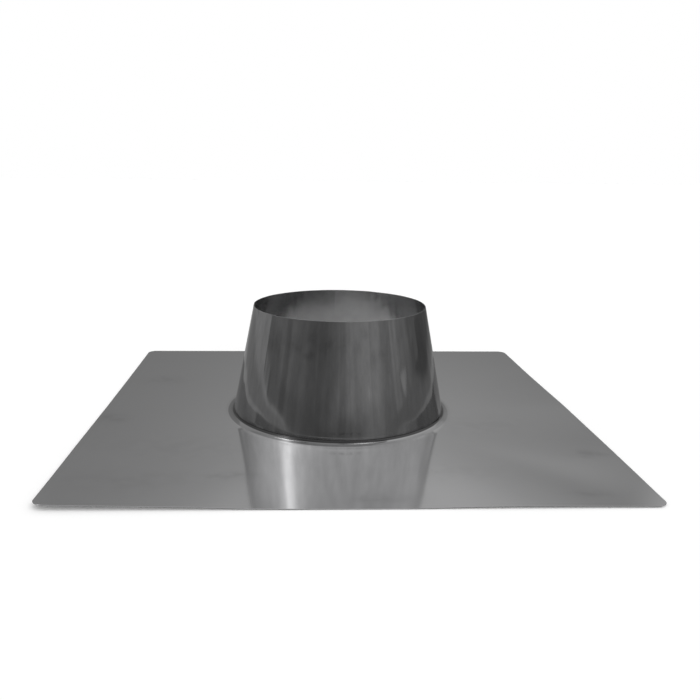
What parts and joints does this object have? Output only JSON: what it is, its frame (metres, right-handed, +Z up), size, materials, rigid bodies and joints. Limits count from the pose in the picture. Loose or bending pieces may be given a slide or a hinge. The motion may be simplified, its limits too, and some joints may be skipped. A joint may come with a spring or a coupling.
{
  "type": "roof flashing",
  "caption": "Square stainless flat-roof flashing plate with a drawn neck and a conical collar through which a round flue passes.",
  "frame": {"origin": "middle of the plate's underside, on the axis of the flue", "axes": "+Z up along the flue, away from the roof; the cone's weld is on the +Y side"},
  "size_m": [0.5, 0.5, 0.1151],
  "materials": {
    "plate_steel": "cold-rolled mill finish with a soft mirror",
    "cone_steel": "bright cold-rolled sheet, rolled into a cone"
  },
  "bodies": {
    "root": {"base_plate": "plate_steel", "cone_collar": "cone_steel"}
  },
  "joints": []
}
